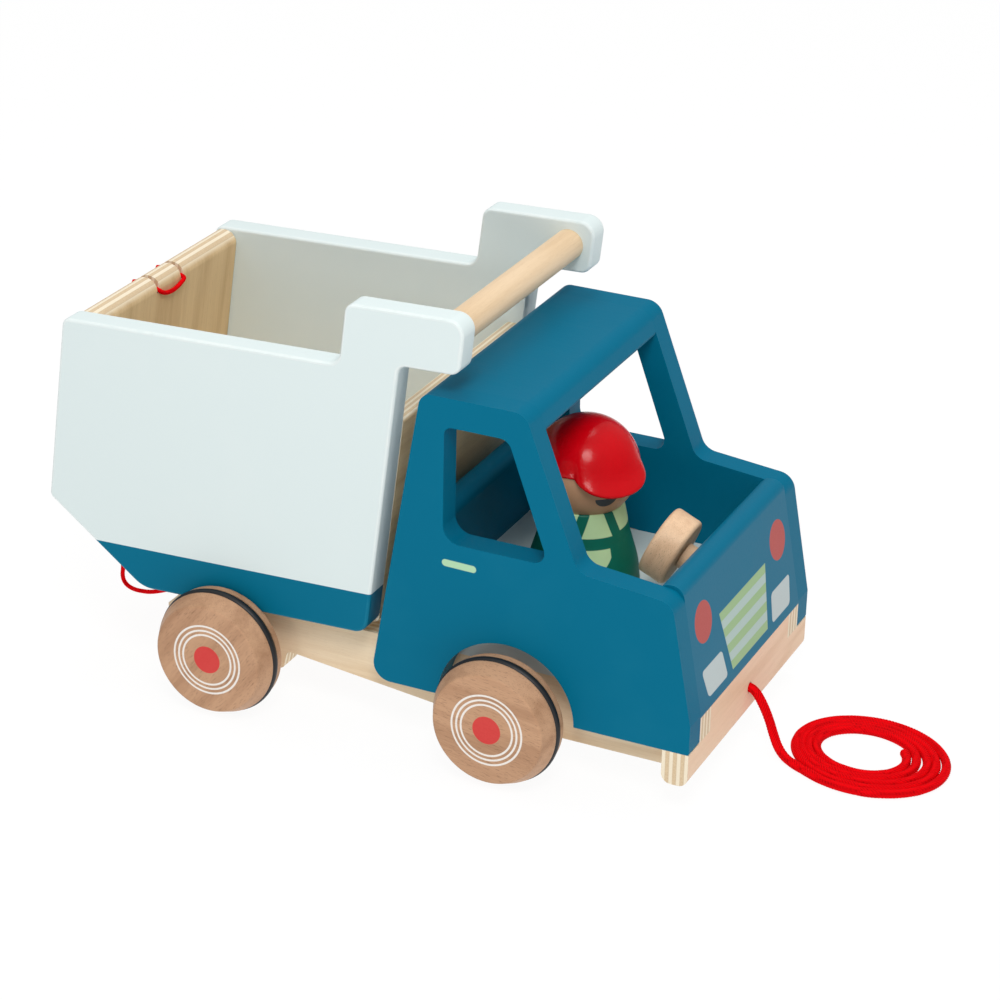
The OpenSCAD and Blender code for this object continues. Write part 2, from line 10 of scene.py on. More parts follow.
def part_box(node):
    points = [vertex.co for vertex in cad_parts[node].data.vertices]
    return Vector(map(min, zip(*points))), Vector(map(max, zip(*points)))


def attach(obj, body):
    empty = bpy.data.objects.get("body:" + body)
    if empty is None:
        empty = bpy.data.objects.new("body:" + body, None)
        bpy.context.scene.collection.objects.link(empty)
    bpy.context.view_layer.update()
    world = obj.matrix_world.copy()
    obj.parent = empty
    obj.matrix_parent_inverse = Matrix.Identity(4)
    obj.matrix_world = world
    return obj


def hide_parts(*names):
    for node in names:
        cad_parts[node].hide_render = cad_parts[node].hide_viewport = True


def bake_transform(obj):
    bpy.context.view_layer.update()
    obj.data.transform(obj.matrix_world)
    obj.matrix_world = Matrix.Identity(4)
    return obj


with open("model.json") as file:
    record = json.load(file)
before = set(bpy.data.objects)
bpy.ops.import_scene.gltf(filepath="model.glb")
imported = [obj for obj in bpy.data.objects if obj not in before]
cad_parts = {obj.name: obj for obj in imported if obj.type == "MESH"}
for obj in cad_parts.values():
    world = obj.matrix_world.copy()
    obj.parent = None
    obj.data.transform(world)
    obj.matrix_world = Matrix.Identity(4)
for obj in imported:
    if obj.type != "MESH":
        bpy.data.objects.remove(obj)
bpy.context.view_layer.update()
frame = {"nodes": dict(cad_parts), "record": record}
MM = 0.001
X, Y, Z = Vector((1, 0, 0)), Vector((0, 1, 0)), Vector((0, 0, 1))
NODES = frame["nodes"]
BODY_OF = {node: body for body, nodes in frame["record"]["behaviour"]["bodies"].items() for node in nodes}

# ---- where things stand in the CAD, in millimetres as (x, z) before the bed leans ----
GATE_FOOT, GATE_TOP = (-153.6, 84.7), (-139.6, 171.5)
WALL_FOOT, WALL_TOP = (4.6, 47.5), (24.2, 175)
RAMP_COURSE = (-45.6, 37.2)
GATE_HEIGHT, SLOT_DEPTH = 87.9, 6.2
BED_LEAN = 2  # degrees


def lean_of(foot, top):
    """The forward lean of a board from its foot to its top, in radians."""
    return math.atan2(top[0] - foot[0], top[1] - foot[1])


rest_angle = math.radians(BED_LEAN)
pivot = Vector((-0.092, 0, 0.035))
bed_turn = Matrix.Translation(pivot) @ Matrix.Rotation(-rest_angle, 4, "Y") @ Matrix.Translation(-pivot)
gate_lean = lean_of(GATE_FOOT, GATE_TOP)
gate_foot = Vector((GATE_FOOT[0] * MM, 0, GATE_FOOT[1] * MM))
gate_turn = bed_turn @ Matrix.Translation(gate_foot) @ Matrix.Rotation(gate_lean, 4, "Y")

# ---- camera ----
camera = bpy.data.objects.new("camera", bpy.data.cameras.new("camera"))
bpy.context.scene.collection.objects.link(camera)
right = Vector((0.90362, 0.42789, 0.01926))
up = Vector((-0.19874, 0.37903, 0.90379))
back = right.cross(up)
camera.matrix_world = Matrix.Translation(Vector((0.53457, -1.08381, 0.65616))) @ Matrix(
    (right, up, back)
).transposed().to_4x4()
camera.data.lens = 107.65
camera.data.sensor_width = 36
camera.data.clip_end = 20
bpy.context.scene.camera = camera


# ---- cords ----
def catmull(points, step):
    """A smooth line through points, sampled about every step."""
    p = [Vector(q) for q in points]
    p = [2 * p[0] - p[1]] + p + [2 * p[-1] - p[-2]]
    line = []
    for i in range(1, len(p) - 2):
        a, b, c, d = p[i - 1 : i + 3]
        n = max(1, round((c - b).length / step))
        for k in range(n):
            t = k / n
            square = (2 * a - 5 * b + 4 * c - d) * t**2
            cube = (3 * b - a - 3 * c + d) * t**3
            line.append(0.5 * (2 * b + (c - a) * t + square + cube))
    return line + [p[-2]]


def tube(name, line, radius, strands, pitch, relief, sides=24, closed=False):
    """A braided cord along line, whose two crossing sets of strands stand out as diamonds.

    The attribute braid is 1 on top of a strand and 0 between strands.
    """
    bm = bmesh.new()
    deep = bm.verts.layers.float.new("braid")
    rings, normal, run = [], None, 0.0
    for i, at in enumerate(line):
        ahead = line[min(i + 1, len(line) - 1)] - line[max(i - 1, 0)]
        ahead.normalize()
        if normal is None:
            normal = ahead.orthogonal().normalized()
        normal = (normal - ahead * normal.dot(ahead)).normalized()
        side = ahead.cross(normal)
        if i:
            run += (at - line[i - 1]).length
        ends = min(1.0, min(i, len(line) - 1 - i) / 3 + 0.55)  # a cord tapers a little at its cut ends
        ring = []
        for k in range(sides):
            turn = 2 * math.pi * k / sides
            a = math.sin(strands / 2 * (turn + 2 * math.pi * run / pitch))
            b = math.sin(strands / 2 * (turn - 2 * math.pi * run / pitch))
            bump = (abs(a) * abs(b)) ** 0.5
            out = normal * math.cos(turn) + side * math.sin(turn)
            v = bm.verts.new(at + out * radius * ends * (1.04 - relief + relief * 1.3 * bump))
            v[deep] = bump
            ring.append(v)
        rings.append(ring)
    pairs = list(zip(rings, rings[1:])) + ([(rings[-1], rings[0])] if closed else [])
    for r, s in pairs:
        for k in range(sides):
            bm.faces.new((r[k], r[(k + 1) % sides], s[(k + 1) % sides], s[k])).smooth = True
    if not closed:
        bm.faces.new(list(reversed(rings[0])))
        bm.faces.new(rings[-1])
    bmesh.ops.recalc_face_normals(bm, faces=bm.faces)
    mesh = bpy.data.meshes.new(name)
    bm.to_mesh(mesh)
    bm.free()
    o = bpy.data.objects.new(name, mesh)
    bpy.context.scene.collection.objects.link(o)
    return o


def length_of(line):
    """The length of a line of points."""
    return sum((b - a).length for a, b in zip(line, line[1:]))


def coil_point(turn, first, turns):
    """A point of the flat spiral after that many turns. It runs anticlockwise and inwards."""
    angle = math.radians(first + 360 * turn)
    wander = 0.35 * math.sin(1.7 * angle + 0.7) * min(1, turn) * min(1, turns - turn)
    return Vector((
        207.9 - 0.75 * turn + (36.2 - 3.75 * turn + wander) * math.cos(angle),
        11.0 + 0.35 * turn + (31.4 - 3.25 * turn + wander) * math.sin(angle) - 1.6 * math.cos(angle),
        2.05,
    )) * MM


CORD, THIN = 4.0 * MM, 2.0 * MM
PULL_STRANDS, PULL_PITCH = 8, 0.011
THIN_STRANDS, THIN_PITCH = 6, 0.006
inside_bumper = (150, 0, 28)
# From the bumper's hole down to the floor, where the coil starts.
free = [
    (155, 0, 28), (157.6, -0.1, 26.8), (160.2, -0.3, 23.8), (163.1, -0.8, 19.3), (165.6, -1.2, 14.3),
    (167.8, -2, 9.5), (171, -4, 4.8), (175.4, -7.2, 2.4), (180.8, -10.8, 2.1),
]
coil_turns, coil_start, steps_a_turn = 4.5, 228, 30
coil = [
    coil_point(t / steps_a_turn, coil_start, coil_turns)
    for t in range(1, int(coil_turns * steps_a_turn))
]
pull_line = catmull([[c * MM for c in q] for q in [inside_bumper] + free] + coil, 0.0007)
pull = tube("braided_pull_cord", pull_line, CORD / 2, PULL_STRANDS, PULL_PITCH, 0.13, sides=20)
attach(pull, "chassis")
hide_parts("pull_cord", "pull_cord_coil")
round(length_of(pull_line), 3)


def trefoil(t):
    """A point of a trefoil knot that lies across X and fits in a ball of radius 1."""
    return Vector((
        -math.sin(3 * t) * 0.45,
        (math.sin(t) + 2 * math.sin(2 * t)) * 0.24,
        (math.cos(t) - 2 * math.cos(2 * t)) * 0.24,
    ))


knot_low, knot_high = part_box("pull_cord_knot")
knot_at, knot_size = (knot_low + knot_high) / 2, (knot_high.z - knot_low.z) / 2
knot_steps = 90
knot_line = [knot_at + trefoil(2 * math.pi * k / knot_steps) * knot_size for k in range(knot_steps)]
knot = tube("cord_knot", knot_line, CORD / 2 * 0.8, PULL_STRANDS, PULL_PITCH, 0.15, sides=14, closed=True)
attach(knot, "chassis")
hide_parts("pull_cord_knot")

low = GATE_HEIGHT - SLOT_DEPTH + 1.3  # the cord's middle over the floor of its slot
# One leg of the loop, from the gate's foot up its outside, over the slot and down its inside.
leg = [
    (-1.2, 14, 9), (-1.2, 13.8, 24), (-1.2, 13, 40), (-1.2, 11.8, 56), (-1.2, 10.6, 70),
    (-1.2, 10.2, low - 0.3), (0.6, 10.2, low + 0.2), (6, 10.2, low + 0.1), (11.4, 10.2, low + 0.2),
    (13.2, 9.7, low - 0.5), (13.3, 6.6, low - 2), (13.3, 3.4, low - 2.8),
]
whole = [(x, -y, z) for x, y, z in leg] + [(13.3, 0, low - 3.1)] + leg[::-1]
gate_line = catmull([gate_turn @ (Vector(q) * MM) for q in whole], 0.0005)
gate_cord = tube("gate_cord_braid", gate_line, THIN / 2, THIN_STRANDS, THIN_PITCH, 0.08, sides=14)
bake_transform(gate_cord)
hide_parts("tailgate_cord")
round(length_of(gate_line), 3)
# One slack leg below the gate, hanging behind the tail and then forward under the bed.
tail_route = [
    (-155.5, 14, 91), (-156.5, 14, 82), (-157, 14, 70), (-157.1, 14, 56), (-156.4, 14, 42),
    (-155.4, 14.2, 30), (-155, 14.4, 22), (-155.4, 14.5, 17.3), (-154.7, 14.5, 14), (-152.5, 14.6, 11.9),
    (-148.9, 14.7, 10.9), (-144.3, 14.8, 11), (-139, 15, 12), (-131.5, 15, 14.8), (-124, 15, 18.4),
    (-115.8, 15, 22.8), (-106.6, 15, 26.4),
    (-97.6, 15, 28.2), (-89, 15, 28.8), (-83, 15, 29), (-79, 15, 29),
]
tails = []
for name, hand in (("left", 1), ("right", -1)):
    line = catmull([(x * MM, hand * y * MM, z * MM) for x, y, z in tail_route], 0.0005)
    tail = tube(f"gate_cord_tail_{name}", line, THIN / 2, THIN_STRANDS, THIN_PITCH, 0.08, sides=14)
    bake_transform(tail)
    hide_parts("tailgate_cord_tails")
    round(length_of(line), 3)
    tails.append(tail)

# ---- light and world ----
scene = bpy.context.scene
scene.view_settings.view_transform = "Standard"
world = bpy.data.worlds.new("studio")
scene.world = world
world.use_nodes = True
sky = world.node_tree.nodes["Background"]
sky.inputs["Color"].default_value = (1, 1, 1, 1)
SKY_LEVEL, SKY_RISE = 0.22, 0.66
ways = world.node_tree.nodes.new("ShaderNodeTexCoord")
height = world.node_tree.nodes.new("ShaderNodeSeparateXYZ")
world.node_tree.links.new(ways.outputs["Generated"], height.inputs[0])
brighter_above = world.node_tree.nodes.new("ShaderNodeMath")
brighter_above.operation = "MULTIPLY_ADD"
brighter_above.inputs[1].default_value = SKY_RISE
brighter_above.inputs[2].default_value = SKY_LEVEL
world.node_tree.links.new(height.outputs[2], brighter_above.inputs[0])
world.node_tree.links.new(brighter_above.outputs[0], sky.inputs["Strength"])


def area_light(name, at, size, power, colour=(1, 1, 1), seen=True):
    """A round soft light that faces the object."""
    data = bpy.data.lights.new(name, "AREA")
    data.shape = "DISK"
    data.size = size
    data.energy = power
    data.color = colour
    o = bpy.data.objects.new(name, data)
    scene.collection.objects.link(o)
    o.location = at
    o.rotation_euler = (Vector((0, 0, 0.08)) - Vector(at)).to_track_quat("-Z", "Y").to_euler()
    o.visible_camera = seen


area_light("key_light", (0.45, -0.85, 1.2), 0.5, 8.5, (1, 0.99, 0.97))
area_light("top_light", (-0.1, 0.3, 1.6), 0.8, 5.0)
area_light("front_reflector", (1.15, -0.55, 0.10), 0.16, 0.6, seen=False)
area_light("side_reflector", (-0.05, -1.1, 0.14), 0.16, 0.6, seen=False)


# ---- node expressions ----
class E:
    """A number in a material's node tree that can be added, multiplied and compared."""

    def __init__(self, tree, out):
        self.tree, self.out = tree, out

    def op(self, kind, *others, clamp=False):
        node = self.tree.nodes.new("ShaderNodeMath")
        node.operation = kind
        node.use_clamp = clamp
        for socket, value in zip(node.inputs, (self, *others)):
            if isinstance(value, E):
                self.tree.links.new(value.out, socket)
            else:
                socket.default_value = value
        return E(self.tree, node.outputs[0])

    def __add__(self, o): return self.op("ADD", o)
    def __radd__(self, o): return self.op("ADD", o)
    def __sub__(self, o): return self.op("SUBTRACT", o)
    def __rsub__(self, o): return self.op("MULTIPLY", -1.0) + o
    def __mul__(self, o): return self.op("MULTIPLY", o)
    def __rmul__(self, o): return self.op("MULTIPLY", o)
    def __truediv__(self, o): return self.op("DIVIDE", o)
    def __pow__(self, o): return self.op("POWER", o)
    def abs(self): return self.op("ABSOLUTE")
    def sin(self): return self.op("SINE")
    def min(self, o): return self.op("MINIMUM", o)
    def max(self, o): return self.op("MAXIMUM", o)
    def clamp(self): return self.op("ADD", 0.0, clamp=True)
    def below(self, edge, soft=0.0001): return ((edge - self) / soft + 0.5).clamp()
    def above(self, edge, soft=0.0001): return ((self - edge) / soft + 0.5).clamp()


class Paper:
    """A material under construction, with its object coordinates in metres."""

    def __init__(self, name, roughness, specular=0.3):
        self.material = bpy.data.materials.new(name)
        self.material.use_nodes = True
        self.tree = self.material.node_tree
        self.shader = self.tree.nodes["Principled BSDF"]
        self.shader.inputs["Specular IOR Level"].default_value = specular
        self.set("Roughness", roughness)
        where = self.tree.nodes.new("ShaderNodeTexCoord")
        self.object, self.normal = where.outputs["Object"], where.outputs["Normal"]
        split = self.tree.nodes.new("ShaderNodeSeparateXYZ")
        self.tree.links.new(self.object, split.inputs[0])
        self.x, self.y, self.z = (E(self.tree, split.outputs[i]) for i in range(3))

    def set(self, socket, value):
        """Gives an input of the surface a number, a colour or an expression."""
        if isinstance(value, E):
            self.tree.links.new(value.out, self.shader.inputs[socket])
        else:
            self.shader.inputs[socket].default_value = value

    def along(self, direction, what=None):
        """How far a point lies along a direction, or how much another vector points along it."""
        node = self.tree.nodes.new("ShaderNodeVectorMath")
        node.operation = "DOT_PRODUCT"
        self.tree.links.new(what or self.object, node.inputs[0])
        node.inputs[1].default_value = tuple(direction)
        return E(self.tree, node.outputs["Value"])

    def vector(self, *parts):
        """A vector made of three expressions or numbers."""
        node = self.tree.nodes.new("ShaderNodeCombineXYZ")
        for socket, value in zip(node.inputs, parts):
            if isinstance(value, E):
                self.tree.links.new(value.out, socket)
            else:
                socket.default_value = value
        return node.outputs[0]

    def noise(self, vector, detail=2.0, rough=0.5):
        """Smooth noise about 0.5, whose features are about 1 long in vector."""
        node = self.tree.nodes.new("ShaderNodeTexNoise")
        node.inputs["Scale"].default_value = 1.0
        node.inputs["Detail"].default_value = detail
        node.inputs["Roughness"].default_value = rough
        self.tree.links.new(vector, node.inputs["Vector"])
        return E(self.tree, node.outputs["Fac"])

    def mix(self, share, a, b):
        """The colour a where share is 0, and b where it is 1."""
        node = self.tree.nodes.new("ShaderNodeMix")
        node.data_type = "RGBA"
        for socket, value in ((node.inputs[0], share), (node.inputs[6], a), (node.inputs[7], b)):
            if isinstance(value, E):
                self.tree.links.new(value.out, socket)
            elif isinstance(value, bpy.types.NodeSocket):
                self.tree.links.new(value, socket)
            elif isinstance(value, tuple):
                socket.default_value = (*value, 1)
            else:
                socket.default_value = value
        return node.outputs[2]

    def attribute(self, name):
        """A number stored on the mesh."""
        node = self.tree.nodes.new("ShaderNodeAttribute")
        node.attribute_name = name
        return E(self.tree, node.outputs["Fac"])

    def bump(self, height, distance, strength=1.0):
        """Relief of the surface, up to distance deep."""
        node = self.tree.nodes.new("ShaderNodeBump")
        node.inputs["Distance"].default_value = distance
        node.inputs["Strength"].default_value = strength
        self.tree.links.new(height.out, node.inputs["Height"])
        self.tree.links.new(node.outputs[0], self.shader.inputs["Normal"])

    def colour(self, socket):
        """Sets the base colour."""
        self.tree.links.new(socket, self.shader.inputs["Base Color"])


def srgb(*parts):
    """A linear colour from its 8-bit sRGB parts."""
    return tuple(c / 255 / 12.92 if c <= 10 else ((c / 255 + 0.055) / 1.055) ** 2.4 for c in parts)


TEAL = srgb(0, 106, 137)
# A lighter teal, used for the paint's random tone and for the painted highlight on its edges.
TEAL_LIGHT = srgb(44, 134, 160)
PALE = srgb(218, 230, 230)
WHITE = srgb(238, 240, 238)


def paint_over(p, colour, light, relief=1.0):
    """Satin paint over wood: a little orange peel, the grain showing through, and edges lighter, partly from
    rubbed wear and partly as a painted highlight.
    """
    peel = p.noise(p.vector(p.x * 900, p.y * 900, p.z * 900), 2, 0.5)
    grain = p.noise(p.vector(p.x * 45, p.y * 900, p.z * 900), 3, 0.6)
    cloud = p.noise(p.vector(p.x * 22, p.y * 22, p.z * 22), 3, 0.6)
    wear_and_highlight_noise = p.noise(p.vector(p.x * 160, p.y * 160, p.z * 160), 3, 0.65)
    # Wear and painted highlight: the bevelled edges are lightened towards the light colour, in patches.
    edge = p.attribute("edge") * (wear_and_highlight_noise.above(0.42, 0.5))
    toned = p.mix(((cloud - 0.5) * 0.3).clamp(), colour, light)
    # worn is the paint with those lighter edges, partly wear and partly a painted highlight.
    worn = p.mix((edge * 0.38).clamp(), toned, light)
    p.set("Roughness", 0.42 + (cloud - 0.5) * 0.14 + (grain - 0.5) * 0.1)
    p.bump(peel * 0.35 + grain * 0.65, 0.00006 * relief, 0.5)
    return worn


def wood_over(p, light, dark, grain, across, figure=1.0, flecks=0.0, shift=0.0):
    """Bare wood whose fibres run along grain. Returns its colour and a height for the relief."""
    u, v = p.along(grain), p.along(across)
    n = p.along(Vector(grain).cross(Vector(across)))
    bend = p.noise(p.vector(u * 5 + shift, v * 16, n * 16), 2, 0.5)
    rings = ((v * 260 + n * 160 + bend * 26 + shift).sin() * 0.5 + 0.5) ** 2.2
    fibre = p.noise(p.vector(u * 110, v * 2600, n * 2600), 3, 0.6)
    streak = p.noise(p.vector(u * 14 + shift, v * 330, n * 330), 4, 0.6)
    dash = p.noise(p.vector(u * 330, v * 3300, n * 3300), 1, 0.5)
    tone = (rings * 0.34 * figure + (streak - 0.42) * 1.15 + (fibre - 0.5) * 0.55).clamp()
    base = p.mix(tone, light, dark)
    if flecks:
        darker = tuple(c * 0.52 for c in dark)
        base = p.mix((dash.above(0.66, 0.08) * flecks).clamp(), base, darker)
    return base, fibre * 0.6 + streak * 0.4


def ply_over(p, normal, face, thickness, light, dark, grain, across, shift=0.0):
    """Bare plywood: veneer on the faces, and a stack of plies wherever the surface turns off them."""
    board, height = wood_over(p, light, dark, grain, across, 1.0, 0.12, shift)
    depth = (p.along(normal) - face) / thickness
    plies_in_board = 7
    wave = p.noise(p.vector(p.x * 30, p.y * 30, p.z * 30), 2, 0.5)
    layer = ((depth * plies_in_board + (wave - 0.5) * 0.16) * math.pi).sin()
    odd = layer.above(0.0, 0.35)
    glue = 1 - (layer.abs()).above(0.22, 0.3)
    speck = p.noise(p.vector(p.x * 1500, p.y * 1500, p.z * 1500), 2, 0.6)
    long_ply = p.mix((speck - 0.35) * 0.6, srgb(240, 228, 204), srgb(224, 202, 168))
    end_ply = p.mix((speck - 0.25) * 0.9, srgb(222, 200, 166), srgb(186, 154, 116))
    plies = p.mix(odd, end_ply, long_ply)
    plies = p.mix(glue * 0.2, plies, srgb(150, 116, 80))
    facing = (p.along(normal, p.normal)).abs().above(0.8, 0.25)
    colour = p.mix(facing, plies, board)
    p.bump(height + (1 - facing) * (odd * 0.8 + speck * 0.5), 0.00009, 0.6)
    return colour


PLY_LIGHT, PLY_DARK = srgb(242, 220, 188), srgb(214, 182, 140)


def plywood(
    name, normal, face, grain, across, light=PLY_LIGHT, dark=PLY_DARK, shift=0.0, thickness=0.012
):
    """Plywood whose plies lie along normal, starting at face."""
    p = Paper(name, 0.55, 0.25)
    p.colour(ply_over(p, normal, face, thickness, light, dark, grain, across, shift))
    return p.material


def teal_paint():
    """The cab's plain paint."""
    p = Paper("teal_paint", 0.5, 0.06)
    p.colour(paint_over(p, TEAL, TEAL_LIGHT))
    return p.material


def cab_side_paint():
    """Teal with a short pale bar for the door handle printed on the outer face."""
    p = Paper("cab_side_paint", 0.5, 0.05)
    worn = paint_over(p, TEAL, TEAL_LIGHT)
    middle_x, middle_z, half_length, half_width, tilt = 0.0478, 0.0936, 0.0064, 0.0016, 0.02
    outer_face = 0.0703
    bar_x = ((p.x - middle_x).abs() - half_length).max(0.0)
    bar_z = (p.z - middle_z + (p.x - middle_x) * tilt).abs()
    bar = (bar_x * bar_x + bar_z * bar_z).op("SQRT").below(half_width, 0.0003)
    outside = p.y.abs().above(outer_face, 0.0002)
    p.colour(p.mix(bar * outside, worn, srgb(176, 214, 176)))
    return p.material


def front_panel_paint():
    """Teal with printed headlights, a banded grille and two pale lamps."""
    p = Paper("front_panel_paint", 0.5, 0.1)
    worn = paint_over(p, TEAL, TEAL_LIGHT)
    print_edge = 0.0003
    across, slope = p.y.abs(), 1 / math.cos(math.radians(10.8))

    head_y, head_z, head_radius = 0.0438, 0.0789, 0.0091
    rise = (p.z - head_z) * slope
    disc = ((across - head_y) ** 2 + rise * rise).op("SQRT")
    head = disc.below(head_radius, print_edge)

    grille_low, grille_high, half_low, half_high, bands = 0.0468, 0.0750, 0.0209, 0.0272, 7
    share = (p.z - grille_low) / (grille_high - grille_low)
    grille_half = half_low + share * (half_high - half_low)
    inside = (across - grille_half).below(0.0, print_edge) * share.above(0, 0.01) * share.below(1, 0.01)
    band = ((share * bands).op("FLOOR") / 2).op("FRACT")
    stripe = p.mix(band.above(0.25, 0.1), srgb(156, 188, 140), srgb(176, 198, 192))

    lamp_low, lamp_high, lamp_middle, half_rise, corner = 0.0467, 0.0596, 0.05315, 0.0066, 0.0022
    inner_low, inner_high, outer_low, outer_high = 0.0268, 0.0295, 0.0486, 0.0520
    lamp_share = (p.z - lamp_low) / (lamp_high - lamp_low)
    inner = inner_low + lamp_share * (inner_high - inner_low)
    outer = outer_low + lamp_share * (outer_high - outer_low)
    middle, half = (inner + outer) / 2, (outer - inner) / 2
    far_y = ((across - middle).abs() - half + corner).max(0.0)
    far_z = (((p.z - lamp_middle) * slope).abs() - half_rise + corner).max(0.0)
    lamp = (far_y * far_y + far_z * far_z).op("SQRT").below(corner, print_edge)

    speckle = p.noise(p.vector(p.x * 1400, p.y * 1400, p.z * 1400), 2, 0.6)
    front = p.along((0.982, 0, 0.187), p.normal).above(0.97, 0.03)
    c = p.mix(head * front, worn, p.mix(speckle, srgb(176, 76, 72), srgb(188, 90, 86)))
    c = p.mix(inside * front, c, stripe)
    c = p.mix(lamp * front, c, p.mix(speckle, srgb(184, 198, 199), srgb(194, 206, 206)))
    p.colour(c)
    return p.material


def bed_side_paint():
    """Pale paint above and teal below a line that runs parallel to the bed's bottom."""
    p = Paper("bed_side_paint", 0.5, 0.06)
    pale = paint_over(p, PALE, WHITE, 1.2)
    edge = p.attribute("edge")
    band_top = 0.0670
    upward = (-math.sin(rest_angle), 0, math.cos(rest_angle))
    line = upward[0] * pivot.x + upward[2] * pivot.z + (band_top - pivot.z)
    low_band = p.along(upward).below(line, 0.0002)
    cloud = p.noise(p.vector(p.x * 25, p.y * 25, p.z * 25), 3, 0.6)
    wear_and_highlight_noise = p.noise(p.vector(p.x * 160, p.y * 160, p.z * 160), 3, 0.65)
    # Wear and painted highlight: the teal band's bevelled edges are lightened in patches, like the pale
    # paint's.
    worn_and_highlit_edges = edge * wear_and_highlight_noise.above(0.45, 0.5) * 0.35
    teal_band = p.mix(((cloud - 0.5) * 0.2 + worn_and_highlit_edges).clamp(), srgb(0, 106, 136), TEAL_LIGHT)
    p.colour(p.mix(low_band, pale, teal_band))
    return p.material


def wheel_wood(name, axle, turn):
    """Beech with a red centre dot and three fine white rings on the outer face."""
    p = Paper(name, 0.5, 0.25)
    grain = (math.cos(turn), 0, math.sin(turn))
    side = (-math.sin(turn), 0, math.cos(turn))
    base, height = wood_over(p, srgb(194, 152, 119), srgb(150, 108, 78), grain, side, 0.9, 0.55, turn * 7)
    outer_face, dot_radius, print_edge = 0.0888, 0.0065, 0.0002
    ring_radii, ring_half = (0.0120, 0.0141, 0.0163), 0.00045
    away = ((p.x - axle.x) ** 2 + (p.z - axle.z) ** 2).op("SQRT")
    outer = p.y.abs().above(outer_face, print_edge)
    worn = p.noise(p.vector(p.x * 1100, p.y * 1100, p.z * 1100), 2, 0.6)
    rings, *others = [(away - radius).abs().below(ring_half, print_edge) for radius in ring_radii]
    for ring in others:
        rings = rings.max(ring)
    base = p.mix(rings * outer * (0.72 + worn * 0.35).clamp(), base, srgb(240, 236, 230))
    dot = away.below(dot_radius, print_edge) * outer
    base = p.mix(dot * 0.93, base, p.mix(worn, srgb(204, 40, 44), srgb(214, 54, 56)))
    p.colour(base)
    p.bump(height, 0.00008, 0.5)
    return p.material


def bare_wood(name, light, dark, grain, across, flecks=0.5, shift=0.0):
    """Oiled solid wood."""
    p = Paper(name, 0.5, 0.25)
    base, height = wood_over(p, light, dark, grain, across, 0.8, flecks, shift)
    p.colour(base)
    p.bump(height, 0.00008, 0.5)
    return p.material


def rubber():
    """The black rings in the wheels' grooves, a little dusty."""
    p = Paper("black_rubber", 0.5, 0.4)
    fine = p.noise(p.vector(p.x * 2500, p.y * 2500, p.z * 2500), 2, 0.6)
    dust = p.noise(p.vector(p.x * 60, p.y * 60, p.z * 60), 3, 0.6)
    p.colour(p.mix((dust - 0.45) * 0.5, srgb(22, 23, 26), srgb(44, 45, 48)))
    p.set("Roughness", 0.36 + fine * 0.2)
    p.bump(fine, 0.00003, 0.5)
    return p.material


def cord_fabric():
    """Red braid, with painted shade darkening it between its strands."""
    p = Paper("red_braid", 0.75, 0.05)
    deep = p.attribute("braid")
    fibre = p.noise(p.vector(p.x * 3200, p.y * 3200, p.z * 3200), 2, 0.7)
    # Painted shade: the colour darkens in the grooves between the strands, where shade falls.
    c = p.mix((1 - deep * 1.35).clamp(), srgb(232, 0, 10), srgb(150, 0, 4))
    p.colour(p.mix((fibre - 0.5) * 0.4, c, srgb(246, 30, 34)))
    p.bump(fibre, 0.00012, 0.6)
    return p.material


def steel():
    """Plain steel rod with drawing lines along it."""
    p = Paper("rolled_steel", 0.35, 0.5)
    p.set("Metallic", 1.0)
    lines = p.noise(p.vector(p.x * 2500, p.y * 60, p.z * 2500), 3, 0.6)
    p.colour(p.mix(lines, srgb(170, 171, 174), srgb(200, 200, 203)))
    p.set("Roughness", 0.28 + lines * 0.2)
    p.bump(lines, 0.00003, 0.5)
    return p.material


# Which way the driver's face and cap look, from straight ahead, and where the driver stands.
FACING = math.radians(-42)
VISOR_FACING = math.radians(-31)
DRIVER_X = 0.0743


def round_driver(p):
    """Degrees round the driver from straight ahead, to its left."""
    ahead = (p.x - DRIVER_X) * math.cos(FACING) + p.y * math.sin(FACING)
    aside = p.y * math.cos(FACING) - (p.x - DRIVER_X) * math.sin(FACING)
    return aside.op("ARCTAN2", ahead) * (180 / math.pi)


def peg_body():
    """Green overalls with straps and a pocket over a pale shirt."""
    p = Paper("overalls_paint", 0.45, 0.3)
    wide, z = (round_driver(p) + 7).abs(), p.z * 1000  # degrees from the chest's middle, and millimetres
    collar, bib_top, strap = 99.3, 90.7, 16.0
    chest_half = 12.5 + (collar - z) * 1.05
    chest = (wide - chest_half).below(0.0, 1.0) * z.above(bib_top, 0.3)
    sleeve_low = 91.8 + (wide - 40).max(0.0) * 0.02
    sleeve = (wide - chest_half).above(strap, 1.0) * (z - sleeve_low).above(0, 0.3)
    pocket_half, pocket_top = 16.2, 85.7
    pocket_low = 76.8 + (wide / 16.5) ** 2 * 5.2
    pocket_rise = z.below(pocket_top, 0.3) * (z - pocket_low).above(0.0, 0.4)
    pocket = (wide - pocket_half).below(0.0, 0.8) * pocket_rise
    light = (chest + sleeve + pocket).clamp()
    cloud = p.noise(p.vector(p.x * 60, p.y * 60, p.z * 60), 3, 0.6)
    fine = p.noise(p.vector(p.x * 1200, p.y * 1200, p.z * 300), 3, 0.6)
    green = p.mix(cloud, srgb(0, 96, 78), srgb(0, 112, 92))
    shirt = p.mix(cloud, srgb(186, 220, 160), srgb(204, 232, 182))
    p.colour(p.mix(light, green, shirt))
    p.set("Roughness", 0.4 + cloud * 0.12)
    p.bump(fine, 0.00005, 0.5)
    return p.material


